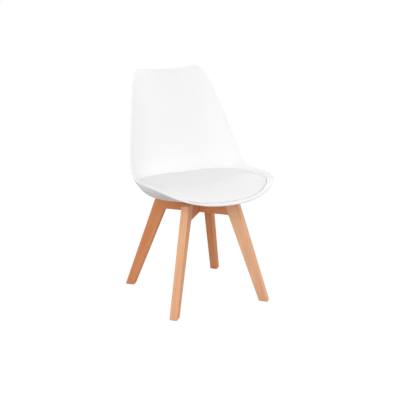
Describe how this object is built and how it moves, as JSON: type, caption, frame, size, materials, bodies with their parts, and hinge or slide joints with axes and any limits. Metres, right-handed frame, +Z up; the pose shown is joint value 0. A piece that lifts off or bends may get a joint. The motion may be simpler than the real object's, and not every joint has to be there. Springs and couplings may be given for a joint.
{
  "type": "dining chair",
  "caption": "Dining chair with a one-piece moulded bucket seat and back, a soft pad in the seat, and splayed tapered wooden legs on crossed wooden rails.",
  "frame": {"origin": "on the floor, under the middle of the chair's overall width and depth", "axes": "+Z up, -Y the way the sitter faces, +X to the right as the chair is seen from the front"},
  "size_m": [0.4916, 0.5259, 0.8278],
  "materials": {
    "shell_plastic": "white moulded polypropylene, satin",
    "leatherette": "white leatherette with a fine grain",
    "foam": "open foam",
    "board": "grey moulded sheet",
    "beech": "beech, clear satin lacquer",
    "dowel_wood": "plain beech",
    "zinc_steel": "zinc plated",
    "brass": "turned",
    "glide_plastic": "nylon"
  },
  "bodies": {
    "root": {"seat_shell": "shell_plastic", "cushion_cover": "leatherette", "cushion_foam": "foam", "cushion_board": "board", "cross_rail_lower": "beech", "cross_rail_upper": "beech", "leg_front_left": "beech", "dowel_front_left_low": "dowel_wood", "dowel_front_left_high": "dowel_wood", "frame_bolt_front_left": "zinc_steel", "washer_front_left": "zinc_steel", "threaded_insert_front_left": "brass", "foot_glide_front_left": "glide_plastic", "leg_front_right": "beech", "dowel_front_right_low": "dowel_wood", "dowel_front_right_high": "dowel_wood", "frame_bolt_front_right": "zinc_steel", "washer_front_right": "zinc_steel", "threaded_insert_front_right": "brass", "foot_glide_front_right": "glide_plastic", "leg_rear_left": "beech", "dowel_rear_left_low": "dowel_wood", "dowel_rear_left_high": "dowel_wood", "frame_bolt_rear_left": "zinc_steel", "washer_rear_left": "zinc_steel", "threaded_insert_rear_left": "brass", "foot_glide_rear_left": "glide_plastic", "leg_rear_right": "beech", "dowel_rear_right_low": "dowel_wood", "dowel_rear_right_high": "dowel_wood", "frame_bolt_rear_right": "zinc_steel", "washer_rear_right": "zinc_steel", "threaded_insert_rear_right": "brass", "foot_glide_rear_right": "glide_plastic"}
  },
  "joints": []
}
